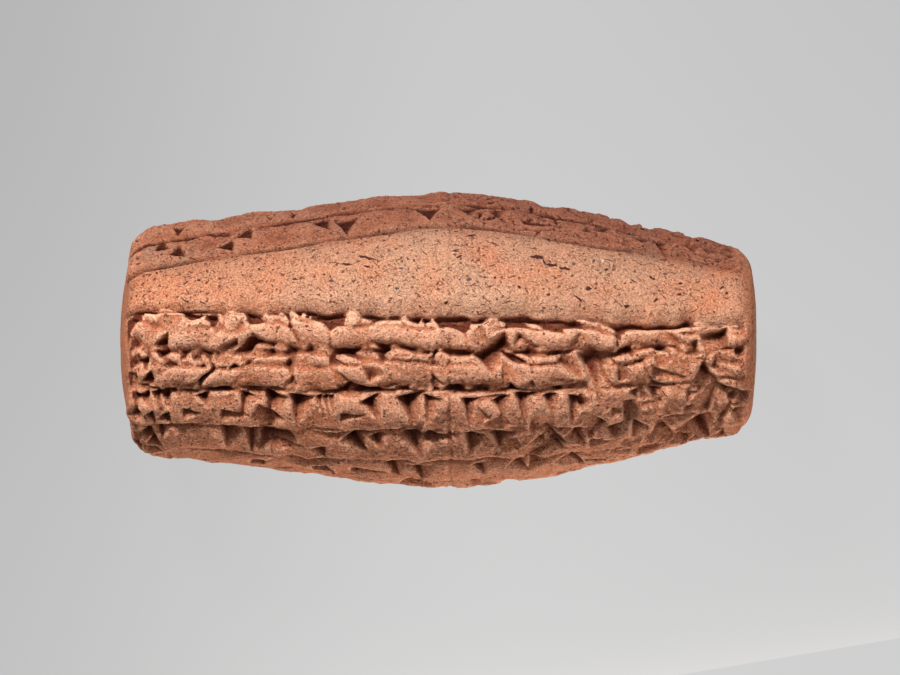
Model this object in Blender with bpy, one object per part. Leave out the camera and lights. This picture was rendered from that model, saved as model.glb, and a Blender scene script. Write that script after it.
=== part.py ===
# A small inscribed clay barrel, fired, that lies on its side.
# X runs along the barrel from its fuller end (-X) to its narrower end (+X), and Z is up.
# Angles go round the barrel from straight up (0) towards +Y, so the flat it rests on is at 180 degrees.

import itertools
import math
import random
from collections import namedtuple

import bmesh
import bpy
import numpy as np
from mathutils import Vector

MM = 0.001

# Overall form
LENGTH = 100.0 * MM
BELLY_RADIUS = 22.8 * MM
FULL_END_RADIUS = 17.1 * MM      # where the side would meet the end, before the rim is rounded
FULL_SIDE_BEND = 5.0 * MM        # a small bend leaves a nearly straight taper, a large one a round side
NARROW_END_RADIUS = 13.4 * MM
NARROW_SIDE_BEND = 20.0 * MM

# The rounded rims and the slightly domed ends
FULL_RIM_REACH = 3.9 * MM
FULL_RIM_DROP = 3.3 * MM
FULL_END_DOME = 1.9 * MM
NARROW_RIM_REACH = 4.7 * MM
NARROW_RIM_DROP = 4.2 * MM
NARROW_END_DOME = 0.8 * MM

# The worn flat underneath, which keeps the barrel from rolling
FLAT_DEPTH = 0.6 * MM
FLAT_MARGIN = 0.5 * MM           # height over the flat where the strokes begin

# The smooth strip between the last line and the first, in degrees
STRIP_TOP = 50.0
STRIP_BOTTOM = 8.5
STRIP_ROLL = ((9.0, 0.25 * MM), (3.0, -0.45 * MM))  # degrees above the lower edge, and the level
STRIP_STEPS = 4

# The ruled lines of writing
FIRST_LINES = (13.2, 16.2, 17.4)  # heights in degrees of the lines under the strip
EVEN_LINES = 15                   # the others share what is left
RULING_DEPTH = 0.5 * MM
LINE_SHAPE = (0.16, 0.45, 0.82)   # shares of a line's height: in its hollow, then both edges of its ledge
LAST_FIRST_LEVEL = (-0.6 * MM, 0.15 * MM)  # hollow and ledge
EVEN_LEVEL = (-0.2 * MM, 0.2 * MM)

# How far the lines sag or climb towards each end, in degrees, where the barrel is BOW_PLACE thinner
BOW_ANGLES = (-200, -120, -57, -21, -5, 8.5, 50)
FULL_END_BOW = (0, -5, -9, -4.4, -2, 3.5, -9)
NARROW_END_BOW = (0, -4, -7, -3.2, -1, -0.8, -1)
BOW_PLACE = 3.74 * MM
MOST_BOW = 1.5

# The first lines stand as thick banks over deep hollows, parted into blocks by broad upright prints
BANK_LINES = 2
BANK_SEED = 7
BANK_SHAPE = (0.12, 0.26, 0.86)
BANK_LEVEL = (-1.5 * MM, 0.1 * MM)
BANK_BLOCK = (5.0 * MM, 13.0 * MM)
BANK_GAPS = (-1.2 * MM, -0.8 * MM, -0.4 * MM, -0.2 * MM, 0.6 * MM, 1.2 * MM)
BANK_LEAST_GAP = -0.5 * MM       # blocks that overlap more than this have no print between them
BANK_PRINT_START = 0.2           # share of the line down
BANK_PRINT_LENGTH = 0.72         # share of the line's height
BANK_PRINT_HEAD = 2.4 * MM       # where the blocks just touch
BANK_PRINT_DEPTH = 1.7 * MM

# The two columns and the line that parts them
DIVIDER_X = 1.8 * MM
DIVIDER_WIDTH = 0.9 * MM
DIVIDER_DEPTH = 0.35 * MM
FULL_END_MARGIN = 1.6 * MM
NARROW_END_MARGIN = 2.4 * MM
DIVIDER_MARGIN = 0.7 * MM

# The strokes, each the print of a stylus corner: a broad steep head and two sides that run out to a tail
STROKE_SEED = 7
HEAD_DEPTH = (1.2 * MM, 0.2, 2.6 * MM)    # at no height, how it grows with the line's height, and the most
BROAD_HEAD = (2.2 * MM, 0.58, 4.2 * MM)   # the least, the share of the line's height, and the most
LYING_HEAD = 2.1 * MM
CROSSED_LENGTH = (4.0 * MM, 6.0 * MM)
CORNER_LENGTH = 3.1 * MM
CORNER_HEAD = 3.7 * MM
FINE_HEAD = 1.2 * MM
HEAD_BACK = 0.17                 # share of a head's width from its edge to the deepest point
LYING_SIZES = (0.8, 1.2)         # the least and the most of full size
UPRIGHT_SIZES = (0.75, 1.3)
CORNER_SIZES = (0.85, 1.35)
LAST_START = 0.4 * MM            # no stroke begins nearer than this to its column's end
LYING_ROOM = 0.85                # the most of the clay left in its column that a lying stroke takes
STROKE_FITS = (1.0, 0.8, 0.62)   # a stroke that touches others is tried smaller
STROKE_LEAST = 1.25 * MM         # the narrowest head that is cut
STROKE_GAP = 0.1 * MM            # the least clay left between two strokes
CUTTER_LIFT = 0.3 * MM           # how far a cutter stands over the clay

# How the writing runs in most lines, and in the sparse last ones of the fuller half.
# kinds: how often uprights, ledges, crossed, fine and corners come; downs and top: shares of a line's height
Style = namedtuple("Style", "kinds ledge downs upright top gap")
EVEN_STYLE = Style(
    (5, 1.2, 2.0, 0.8, 2.6), (5 * MM, 9 * MM), ((0.35, 0.75), (0.6,)),
    (0.5, 0.85), (0.0, 0.16), (-0.3 * MM, 1.7 * MM),
)
SPARSE_STYLE = Style(
    (4, 0.3, 0.3, 0, 4), (5 * MM, 7 * MM), ((0.5,),),
    (0.55, 0.75), (0.1, 0.3), (3.5 * MM, 9.0 * MM),
)
SPARSE_LINES = 2
BARE = {3: (-45 * MM, -33 * MM), 4: (-49 * MM, -15 * MM), 5: (-49 * MM, -4 * MM)}  # worn stretches of lines

# The chip out of the rim of the fuller end
CHIP_ANGLE = -88.0
CHIP_PLACE = 0.75                # share of the rim's reach
CHIP_RADIUS = 3.0 * MM
CHIP_DEPTH = 0.8 * MM
CHIP_MARGIN = 0.6 * MM           # clay between the chip and the nearest stroke

# Fineness of the faceted surface
SIDE_STEP = 6.5 * MM
RIM_STEPS = 3
DOME_STEPS = 2

CLAY_COLOUR = (0.60, 0.31, 0.19, 1.0)
CLAY_ROUGHNESS = 0.9

HALF_LENGTH = LENGTH / 2
AXIS_HEIGHT = BELLY_RADIUS - FLAT_DEPTH

End = namedtuple("End", "sign radius bend rim_reach rim_drop dome")
FULL_END = End(-1, FULL_END_RADIUS, FULL_SIDE_BEND, FULL_RIM_REACH, FULL_RIM_DROP, FULL_END_DOME)
NARROW_END = End(1, NARROW_END_RADIUS, NARROW_SIDE_BEND, NARROW_RIM_REACH, NARROW_RIM_DROP, NARROW_END_DOME)


def clear_scene():
    for old in list(bpy.data.objects):
        bpy.data.objects.remove(old, do_unlink=True)


def end_towards(x):
    return FULL_END if x < 0 else NARROW_END


def rim_start(end):
    """Distance from the middle at which an end's rim begins to round over."""
    return HALF_LENGTH - end.dome - end.rim_reach


def side_radius(x):
    """Radius of the side at x, as if the rims were sharp."""
    end = end_towards(x)
    share = (math.hypot(x, end.bend) - end.bend) / (math.hypot(HALF_LENGTH, end.bend) - end.bend)
    return BELLY_RADIUS - (BELLY_RADIUS - end.radius) * share


def clay_radius(x):
    """Radius of the clay at x, with the rounded rims."""
    end = end_towards(x)
    over = min(1.0, (abs(x) - rim_start(end)) / end.rim_reach)
    if over <= 0:
        return side_radius(x)
    return side_radius(end.sign * rim_start(end)) - end.rim_drop * (1 - math.sqrt(1 - over ** 2))


def end_profile(end):
    """Profile points (x, radius) past the start of an end's rim, up to the last ring of its dome."""
    points = []
    for step in range(1, RIM_STEPS + 1):
        x = end.sign * (rim_start(end) + end.rim_reach * math.sin(math.radians(90 * step / RIM_STEPS)))
        points.append((x, clay_radius(x)))
    edge_radius = points[-1][1]
    for step in range(1, DOME_STEPS):
        share = 1 - step / DOME_STEPS
        points.append((end.sign * (HALF_LENGTH - end.dome * share ** 2), edge_radius * share))
    return points


def stretch(x_from, x_to):
    """Even stations between two places, the first left out and the last kept."""
    count = max(1, round((x_to - x_from) / SIDE_STEP))
    return [x_from + (x_to - x_from) * step / count for step in range(1, count + 1)]


def rings():
    """Every ring of the barrel as (x, radius, share of the ruling's depth, divider depth)."""
    before, after = DIVIDER_X - DIVIDER_WIDTH / 2, DIVIDER_X + DIVIDER_WIDTH / 2
    first, last = -rim_start(FULL_END), rim_start(NARROW_END)
    found = [(x, radius, 0.0, 0.0) for x, radius in reversed(end_profile(FULL_END))]
    found += [(x, side_radius(x), 1.0, 0.0) for x in [first, *stretch(first, before)]]
    found.append((DIVIDER_X, side_radius(DIVIDER_X), 1.0, DIVIDER_DEPTH))
    found += [(x, side_radius(x), 1.0, 0.0) for x in [after, *stretch(after, last)]]
    found += [(x, radius, 0.0, 0.0) for x, radius in end_profile(NARROW_END)]
    return found


def lines():
    """Each line of writing as (angle of its upper ruling, height), going down from the strip."""
    left = 360.0 - (STRIP_TOP - STRIP_BOTTOM) - sum(FIRST_LINES)
    found, angle = [], STRIP_BOTTOM
    for height in [*FIRST_LINES, *[left / EVEN_LINES] * EVEN_LINES]:
        found.append((angle, height))
        angle -= height
    return found


def section():
    """Points round the barrel as (angle, how far the clay stands out there)."""
    points = []
    shapes = [(BANK_SHAPE, BANK_LEVEL)] * BANK_LINES + [(LINE_SHAPE, LAST_FIRST_LEVEL)]
    shapes += [(LINE_SHAPE, EVEN_LEVEL)] * EVEN_LINES
    for (ruling, height), (shares, (hollow, ledge)) in zip(lines(), shapes):
        points.append((ruling, min(hollow, 0.0) - RULING_DEPTH))
        points += [(ruling - share * height, out) for share, out in zip(shares, (hollow, ledge, ledge))]
    top, bottom = STRIP_TOP - 360.0, STRIP_BOTTOM - 360.0
    lip = bottom + STRIP_ROLL[0][0]
    points.append((top, -RULING_DEPTH))
    for step in range(1, STRIP_STEPS):
        points.append((top + (lip - top) * step / STRIP_STEPS, 0.0))
    points += [(bottom + above, level) for above, level in STRIP_ROLL]
    return points


def bow(x, angle):
    """How far the lines sag or climb at a place, in degrees."""
    share = min((BELLY_RADIUS - clay_radius(x)) / BOW_PLACE, MOST_BOW)
    return share * np.interp(angle, BOW_ANGLES, FULL_END_BOW if x < 0 else NARROW_END_BOW, period=360)


def place(x, angle, radius):
    """The point at a radius from the axis, with the bow of the lines."""
    turn = math.radians(angle + bow(x, angle))
    return Vector((x, radius * math.sin(turn), AXIS_HEIGHT + radius * math.cos(turn)))


def in_strip(angle):
    return STRIP_BOTTOM - 360.0 < angle < STRIP_TOP - 360.0


def barrel_mesh():
    bm = bmesh.new()
    loops = []
    for x, radius, ruled, divider in rings():
        loop = []
        for angle, stands_out in section():
            cut = 0.0 if in_strip(angle) else divider
            loop.append(bm.verts.new(place(x, angle, radius + ruled * stands_out - cut)))
        loops.append(loop)
    for near, far in zip(loops, loops[1:]):
        for a, b, c, d in zip(near, near[1:] + near[:1], far[1:] + far[:1], far):
            bm.faces.new((a, b, c, d))
    for loop, x in ((loops[0], -HALF_LENGTH), (loops[-1], HALF_LENGTH)):
        pole = bm.verts.new(place(x, 0.0, 0.0))
        for a, b in zip(loop, loop[1:] + loop[:1]):
            bm.faces.new((a, b, pole))
    bmesh.ops.recalc_face_normals(bm, faces=bm.faces)
    wear_flat(bm)
    return bm


def wear_flat(bm):
    """Cuts off what lies below the floor and closes the cut with one flat face."""
    everything = [*bm.verts, *bm.edges, *bm.faces]
    cut = bmesh.ops.bisect_plane(
        bm, geom=everything, plane_co=(0, 0, 0), plane_no=(0, 0, 1), clear_inner=True
    )
    rim = [item for item in cut["geom_cut"] if isinstance(item, bmesh.types.BMEdge)]
    bmesh.ops.edgeloop_fill(bm, edges=rim)
    bmesh.ops.recalc_face_normals(bm, faces=bm.faces)


def clay_frame(x, angle):
    """A place on the side with its directions: along the barrel, round it upwards, and out."""
    reach = 0.5 * MM
    slope = (clay_radius(x + reach) - clay_radius(x - reach)) / (2 * reach)
    turn = math.radians(angle + bow(x, angle))
    along = Vector((1.0, slope * math.sin(turn), slope * math.cos(turn))).normalized()
    upwards = Vector((0.0, math.cos(turn), -math.sin(turn)))
    return place(x, angle, clay_radius(x)), along, upwards, along.cross(upwards)


def sign_strokes(draw, room, style):
    """One sign: how far it reaches along its line, and its strokes as
    (across, share of the line down, lean, length, head, depth, where the keel starts across the head)."""
    kind = draw.choices(("uprights", "ledges", "crossed", "fine", "corners"), style.kinds)[0]
    deep = min(HEAD_DEPTH[2], HEAD_DEPTH[0] + HEAD_DEPTH[1] * room)
    broad = min(BROAD_HEAD[2], max(BROAD_HEAD[0], BROAD_HEAD[1] * room))
    strokes, across = [], 0.0
    if kind in ("ledges", "crossed"):
        length = draw.uniform(*(style.ledge if kind == "ledges" else CROSSED_LENGTH))
        for down in draw.choice(style.downs):
            start, lean, size = draw.uniform(0, 1.4 * MM), draw.gauss(0, 5), draw.uniform(*LYING_SIZES)
            strokes.append((start, down, lean, length * size, LYING_HEAD * size, 0.8 * deep, 0.6))
        across = length - 0.4 * MM
    if kind in ("uprights", "crossed"):
        count = draw.choice((1, 2, 2, 3) if kind == "uprights" else (1, 1, 2))
        share = draw.uniform(*style.upright)
        start = 0.5 * broad + (across - 1.8 * MM if kind == "crossed" else 0.0)
        for _ in range(count):
            down, lean, size = draw.uniform(*style.top), draw.gauss(-90, 15), draw.uniform(*UPRIGHT_SIZES)
            strokes.append((start, down, lean, share * room * size, broad * size, deep * size, -0.5))
            start += broad * draw.uniform(0.78, 1.15)
        across = max(across, start - 0.4 * broad)
    if kind == "fine":
        lean, down, across = draw.gauss(-86, 14), draw.choice((0.08, 0.08, 0.4)), 0.6 * MM
        for _ in range(draw.choice((3, 4, 4, 5))):
            strokes.append((across, down, lean, 0.55 * room, FINE_HEAD, 0.5 * deep, -0.2))
            across += draw.uniform(0.75 * MM, 1.0 * MM)
    if kind == "corners":
        across = 1.4 * MM
        for _ in range(draw.choice((1, 2, 2))):
            down, lean, size = draw.uniform(0.1, 0.6), draw.gauss(-45, 20), draw.uniform(*CORNER_SIZES)
            strokes.append((across, down, lean, CORNER_LENGTH * size, CORNER_HEAD * size, deep, 0.0))
            across += draw.uniform(1.8 * MM, 2.8 * MM)
    return across, strokes


def stroke_cutter(x, angle, lean, length, head, depth, keel):
    """The corners of a stroke's cutter: two at the head and the tail, over the clay, then the deepest."""
    middle, along, upwards, out = clay_frame(x, angle)
    turn = math.radians(lean)
    tailwards = along * math.cos(turn) + upwards * math.sin(turn)
    across = out.cross(tailwards) * (head / 2)
    deepest = middle + tailwards * (HEAD_BACK * head) + across * keel - out * depth
    rise = 1 + CUTTER_LIFT / depth
    corners = (middle + across, middle - across, middle + tailwards * length)
    return *(deepest + (corner - deepest) * rise for corner in corners), deepest


def parted(first, second):
    """Whether some plane has one cutter on each side, with clay between them."""
    corners = np.array([first, second])
    low, high = corners.min(1), corners.max(1)
    if max((low[0] - high[1]).max(), (low[1] - high[0]).max()) > STROKE_GAP:
        return True
    edges = np.array([ends[b] - ends[a] for ends in corners for a, b in itertools.combinations(range(4), 2)])
    one, other = np.triu_indices(len(edges), 1)
    axes = np.cross(edges[one], edges[other])
    sizes = np.linalg.norm(axes, axis=1)
    axes = axes[sizes > 0] / sizes[sizes > 0, None]
    spans = corners @ axes.T
    gaps = np.maximum(spans[0].min(0) - spans[1].max(0), spans[1].min(0) - spans[0].max(0))
    return gaps.max() > STROKE_GAP


def chip_place():
    """The middle of the lump that takes the chip out of the fuller end's rounded rim."""
    x = -rim_start(FULL_END) - FULL_RIM_REACH * CHIP_PLACE
    rim, _, _, out = clay_frame(x, CHIP_ANGLE)
    return rim + out * (CHIP_RADIUS - CHIP_DEPTH)


def has_room(cutter, taken, x_from, x_to):
    if min(corner.z for corner in cutter) < FLAT_MARGIN:
        return False
    if not all(x_from < corner.x < x_to for corner in cutter):
        return False
    chip = chip_place()
    if any((corner - chip).length < CHIP_RADIUS + CHIP_MARGIN for corner in cutter):
        return False
    return all(parted(cutter, other) for other in reversed(taken))


def cut_bank(taken, index, ruling, height, x_from, x_to):
    """Adds to taken the prints that part a banked line into blocks."""
    draw = random.Random(BANK_SEED + index)
    x = x_from
    while x < x_to - 2.0 * MM:
        length = min(draw.uniform(*BANK_BLOCK), x_to - x)
        gap = draw.choice(BANK_GAPS)
        x += length + gap
        if gap < BANK_LEAST_GAP:
            continue
        length = BANK_PRINT_LENGTH * math.radians(height) * side_radius(x)
        angle = ruling - BANK_PRINT_START * height
        cutter = stroke_cutter(x - gap / 2, angle, -90, length, BANK_PRINT_HEAD + gap, BANK_PRINT_DEPTH, 0.0)
        if has_room(cutter, taken, x_from, x_to):
            taken.append(cutter)


def write_line(draw, taken, style, bare, ruling, height, x_from, x_to):
    """Adds to taken the strokes that find room along one line in one column, outside its bare stretch."""
    x = x_from + draw.uniform(0, style.gap[1])
    while x < x_to - 1.0 * MM:
        across, strokes = sign_strokes(draw, math.radians(height) * side_radius(x), style)
        for offset, down, lean, length, head, depth, keel in strokes:
            left = x_to - x - offset
            if left < LAST_START or bare[0] < x + offset < bare[1]:
                continue
            if abs(lean) < 45:
                length = min(length, LYING_ROOM * left)
            for fit in STROKE_FITS:
                sizes = [size * fit for size in (length, head, depth)]
                cutter = stroke_cutter(x + offset, ruling - down * height, lean, *sizes, keel)
                if head * fit > STROKE_LEAST and has_room(cutter, taken, x_from, x_to):
                    taken.append(cutter)
                    break
        x += across + draw.uniform(*style.gap)


def line_style(index, column):
    if column == 0 and index >= len(FIRST_LINES) + EVEN_LINES - SPARSE_LINES:
        return SPARSE_STYLE
    return EVEN_STYLE


def stroke_cutters():
    draw = random.Random(STROKE_SEED)
    columns = (
        (FULL_END_MARGIN - HALF_LENGTH, DIVIDER_X - DIVIDER_MARGIN),
        (DIVIDER_X + DIVIDER_MARGIN, HALF_LENGTH - NARROW_END_MARGIN),
    )
    cutters = []
    for index, (ruling, height) in enumerate(lines()):
        if index < BANK_LINES:
            cut_bank(cutters, index, ruling, height, columns[0][0], columns[1][1])
            continue
        bare = BARE.get(index, (0.0, 0.0))
        for column, (x_from, x_to) in enumerate(columns):
            write_line(draw, cutters, line_style(index, column), bare, ruling, height, x_from, x_to)
    bm = bmesh.new()
    for cutter in cutters:
        corners = [bm.verts.new(corner) for corner in cutter]
        for face in itertools.combinations(corners, 3):
            bm.faces.new(face)
    bmesh.ops.recalc_face_normals(bm, faces=bm.faces)
    return bm


def chip_cutter():
    bm = bmesh.new()
    bmesh.ops.create_icosphere(bm, subdivisions=1, radius=CHIP_RADIUS)
    bmesh.ops.translate(bm, verts=bm.verts, vec=chip_place())
    return bm


def object_from(name, bm):
    mesh = bpy.data.meshes.new(name)
    bm.to_mesh(mesh)
    bm.free()
    made = bpy.data.objects.new(name, mesh)
    bpy.context.scene.collection.objects.link(made)
    return made


def cutter_from(name, bm, target):
    cutter = object_from(name, bm)
    cutter.hide_render = True
    cutter.display_type = "WIRE"
    boolean = target.modifiers.new(name, "BOOLEAN")
    boolean.operation = "DIFFERENCE"
    boolean.object = cutter


def fired_clay():
    material = bpy.data.materials.new("fired_clay")
    material.use_nodes = True
    shader = material.node_tree.nodes["Principled BSDF"]
    shader.inputs["Base Color"].default_value = CLAY_COLOUR
    shader.inputs["Roughness"].default_value = CLAY_ROUGHNESS
    return material


def main():
    clear_scene()
    barrel = object_from("clay_barrel", barrel_mesh())
    barrel.data.materials.append(fired_clay())
    cutter_from("stroke_cutters", stroke_cutters(), barrel)
    cutter_from("chip_cutter", chip_cutter(), barrel)


main()
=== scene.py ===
import math
import random

import bmesh
import bpy
import numpy as np
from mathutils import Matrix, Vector


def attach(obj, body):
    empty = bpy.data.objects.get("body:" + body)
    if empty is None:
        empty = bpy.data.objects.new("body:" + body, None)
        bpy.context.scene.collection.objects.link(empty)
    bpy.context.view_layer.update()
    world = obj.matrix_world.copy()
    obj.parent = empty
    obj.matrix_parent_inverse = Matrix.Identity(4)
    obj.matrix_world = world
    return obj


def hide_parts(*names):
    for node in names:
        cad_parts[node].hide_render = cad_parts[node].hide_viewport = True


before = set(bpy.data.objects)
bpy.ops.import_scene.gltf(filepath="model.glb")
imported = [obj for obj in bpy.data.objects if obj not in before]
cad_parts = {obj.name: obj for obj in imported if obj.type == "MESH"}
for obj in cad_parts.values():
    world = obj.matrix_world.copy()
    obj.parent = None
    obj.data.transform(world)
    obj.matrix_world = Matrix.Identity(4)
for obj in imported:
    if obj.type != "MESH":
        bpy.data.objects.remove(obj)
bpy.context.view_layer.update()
mm = 0.001

# the barrel's form. Sizes are millimetres, and angles are degrees round from straight up towards +Y
barrel = {
    "halfLength": 50.0,
    "bellyRadius": 22.8,
    "flatDepth": 0.6,
    "fullEnd": {"radius": 17.1, "bend": 5.0, "rimReach": 3.9, "rimDrop": 3.3, "dome": 1.9},
    "narrowEnd": {"radius": 13.4, "bend": 20.0, "rimReach": 4.7, "rimDrop": 4.2, "dome": 0.8},
    "step": 0.17,
    "quickStep": 0.34,
    "mostTriangles": 196000,
}

axisHeight = barrel["bellyRadius"] - barrel["flatDepth"]


def sideRadius(x):
    end = barrel["fullEnd"] if x < 0 else barrel["narrowEnd"]
    reach = math.hypot(barrel["halfLength"], end["bend"]) - end["bend"]
    share = (math.hypot(x, end["bend"]) - end["bend"]) / reach
    return barrel["bellyRadius"] - (barrel["bellyRadius"] - end["radius"]) * share


def endCurve(end, sign, step):
    # from the start of the rim over to the pole
    start = barrel["halfLength"] - end["dome"] - end["rimReach"]
    startRadius = sideRadius(sign * start)
    count = round(math.pi / 2 * (end["rimReach"] + end["rimDrop"]) / 2 / step)
    turns = np.linspace(0.0, math.pi / 2, count + 1)
    xs = start + end["rimReach"] * np.sin(turns)
    radii = startRadius - end["rimDrop"] * (1 - np.cos(turns))
    edge = radii[-1]
    shares = np.linspace(1.0, 0.0, round(edge / step) + 1)[1:]
    xs = np.concatenate([xs, barrel["halfLength"] - end["dome"] * shares ** 2])
    return sign * xs, np.concatenate([radii, edge * shares])


def turnedProfile(step):
    fullX, fullRadius = endCurve(barrel["fullEnd"], -1, step)
    narrowX, narrowRadius = endCurve(barrel["narrowEnd"], 1, step)
    between = np.linspace(fullX[0], narrowX[0], round((narrowX[0] - fullX[0]) / step) + 1)[1:-1]
    xs = np.concatenate([fullX[::-1], between, narrowX])
    radii = np.concatenate([fullRadius[::-1], [sideRadius(x) for x in between], narrowRadius])
    return xs, radii


farOff = 9.0  # a height that no clay reaches
leastRadius = 3.0  # keeps a window near a pole small


class Clay:
    # the barrel's skin as a grid: one row for each profile point, one column for each turn
    def __init__(self, step):
        self.xs, self.radii = turnedProfile(step)
        girth = 2 * math.pi * barrel["bellyRadius"]
        self.turns = round(girth / step)
        self.angles = np.arange(self.turns) * 360.0 / self.turns
        self.around = (self.angles + 180) % 360 - 180
        slopeX, slopeRadius = np.gradient(self.xs), np.gradient(self.radii)
        size = np.hypot(slopeX, slopeRadius)
        self.outX, self.outRadius = -slopeRadius / size, slopeX / size
        self.along = np.concatenate([[0.0], np.cumsum(np.hypot(np.diff(self.xs), np.diff(self.radii)))])
        self.relief = np.zeros((len(self.xs), self.turns))
        self.lips = np.zeros_like(self.relief)
        self.base = np.zeros_like(self.relief)
        self.scars = np.full_like(self.relief, farOff)
        self.alongRate = np.fft.fftfreq(len(self.xs), self.along[-1] / len(self.xs))[:, None]
        self.roundRate = np.fft.fftfreq(self.turns, girth / self.turns)[None, :]
        self.rate = np.hypot(self.alongRate, self.roundRate)
        self.bendX = sum(self.waves(*bend) for bend in banks["bendAlong"])
        self.bendY = sum(self.waves(*bend) for bend in banks["bendRound"])

    def blurred(self, field, width):
        return np.fft.ifft2(np.fft.fft2(field) * np.exp(-2 * (math.pi * width * self.rate) ** 2)).real

    def noise(self, shortest, longest, seed, stretch=1.0):
        # smooth random ups and downs between two wavelengths, with a spread of 1, stretched along the barrel
        draws = np.random.default_rng(seed).standard_normal(self.relief.shape)
        rate = np.maximum(np.hypot(stretch * self.alongRate, self.roundRate), 1e-6)
        band = np.exp(-((rate * shortest) ** 4)) * (1 - np.exp(-((rate * longest) ** 4)))
        field = np.fft.ifft2(np.fft.fft2(draws) * band / rate).real
        return field / field.std()

    def waves(self, amount, shortest, longest, seed):
        return amount * self.noise(shortest, longest, seed)

    def varied(self, middle, amount, low, high, shortest, longest, seed):
        # a number that comes and goes between low and high
        return np.clip(middle + self.waves(amount, shortest, longest, seed), low, high)

    def window(self, x, angle, reach):
        # the part of the grid around a place, with its distances along and round from there
        middle = np.searchsorted(self.xs, x)
        start = np.searchsorted(self.along, self.along[middle] - reach)
        stop = np.searchsorted(self.along, self.along[middle] + reach)
        radius = max(self.radii[middle], leastRadius)
        half = int(math.degrees(reach / radius) / 360 * self.turns) + 1
        centre = round(angle / 360 * self.turns)
        columns = np.arange(centre - half, centre + half + 1)
        dx = (self.along[start:stop] - self.along[middle])[:, None]
        dy = (np.radians(columns * 360.0 / self.turns - angle) * radius)[None, :]
        return np.ix_(np.arange(start, stop), columns % self.turns), dx, dy


def leaned(dx, dy, lean):
    # the same distances, taken along lean and across it
    turn = math.radians(lean)
    return dx * math.cos(turn) + dy * math.sin(turn), dy * math.cos(turn) - dx * math.sin(turn)


# where the lines of writing run: down from the smooth strip, round the barrel and up to it again
writing = {
    "seed": 7,
    "stripTop": 50.0,
    "stripBottom": 8.5,
    "firstLines": (13.2, 16.2, 17.4),
    "evenLines": 15,
    "sparseLines": 2,  # the last ones, left of the divider
    "dividerX": 1.8,
    "dividerMargin": 0.7,
    "fullEndMargin": 1.6,
    "narrowEndMargin": 2.4,
    "edgeFade": 0.8,
    # how far the lines sag or climb towards each end, in degrees, where the barrel is bowPlace
    # thinner than its belly
    "bowAngles": (-200, -120, -57, -21, -5, 8.5, 50),
    "fullEndBow": (0, -5, -9, -4.4, -2, 3.5, -9),
    "narrowEndBow": (0, -4, -7, -3.2, -1, -0.8, -1),
    "bowPlace": 3.74,
    "mostBow": 1.5,
    # lines with a worn stretch that has no strokes
    "bare": {3: (-45, -33), 4: (-49, -15), 5: (-49, -4)},
}

writtenAngle = 360.0 - (writing["stripTop"] - writing["stripBottom"])


def lines():
    # each line's ruling and its height, in degrees
    left = writtenAngle - sum(writing["firstLines"])
    even = [left / writing["evenLines"]] * writing["evenLines"]
    found, angle = [], writing["stripBottom"]
    for height in [*writing["firstLines"], *even]:
        found.append((angle, height))
        angle -= height
    return found


def writtenSpan():
    return writing["fullEndMargin"] - barrel["halfLength"], barrel["halfLength"] - writing["narrowEndMargin"]


def carvedShare(xs):
    # 1 where there is writing, 0 on the end faces
    first, last = writtenSpan()
    fade = writing["edgeFade"]
    return np.clip((xs - first) / fade, 0, 1) * np.clip((last - xs) / fade, 0, 1)


def inStrip(angles):
    return (angles % 360 > writing["stripBottom"]) & (angles % 360 < writing["stripTop"])


def bow(xs, radii, angles):
    # how far the lines sag or climb round the barrel at each place, in degrees
    share = np.minimum((barrel["bellyRadius"] - radii) / writing["bowPlace"], writing["mostBow"])
    full = np.interp(angles, writing["bowAngles"], writing["fullEndBow"], period=360)
    narrow = np.interp(angles, writing["bowAngles"], writing["narrowEndBow"], period=360)
    return share * np.where(xs < 0, full, narrow)


# one print of the stylus corner: its head as a share of its width, its lips as a share of its depth
stroke = {
    "head": 0.17,
    "lipHeight": 0.04,
    "lipAway": 0.5,
    "lipWidth": 0.35,
    "lipFade": 1.1,
    "room": 1.2,
}


def press(clay, x, angle, lean, length, width, depth, keel):
    # three flat faces: a steep head across (x, angle) and two sides that run out to the tail along
    # lean. A keel above 0 starts left of the middle
    place, dx, dy = clay.window(x, angle, length + stroke["room"])
    t, q = leaned(dx, dy, lean)
    half, back = width / 2, stroke["head"] * width
    inside = [t / back]
    for side in (1, -1):
        inside.append((half * (1 - t / length) - side * q) / (half * (1 - back / length - side * keel)))
    share = np.minimum.reduce(inside)
    clay.relief[place] = np.minimum(clay.relief[place], -depth * np.maximum(share, 0))
    outside = np.maximum(-share, 0) * half
    strength = np.clip(stroke["lipFade"] - t / length, 0, 1)
    lip = stroke["lipHeight"] * depth * strength
    lip = lip * np.exp(-((outside - stroke["lipAway"]) / stroke["lipWidth"]) ** 2) * (outside > 0)
    clay.lips[place] = np.maximum(clay.lips[place], lip)


# how a line is filled: how often uprights, ledges, crossed ones, fine ones and corners come, the lengths
# and starts of ledges, how tall and how low uprights are, and the gaps between signs
evenStyle = {
    "kinds": (5, 1.2, 2.0, 0.8, 2.6),
    "ledge": (5, 9),
    "downs": ((0.35, 0.75), (0.6,)),
    "upright": (0.5, 0.85),
    "top": (0.0, 0.16),
    "gap": (-0.3, 1.7),
}
sparseStyle = {
    "kinds": (4, 0.3, 0.3, 0, 4),
    "ledge": (5, 7),
    "downs": ((0.5,),),
    "upright": (0.55, 0.75),
    "top": (0.1, 0.3),
    "gap": (3.5, 9.0),
}

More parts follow.
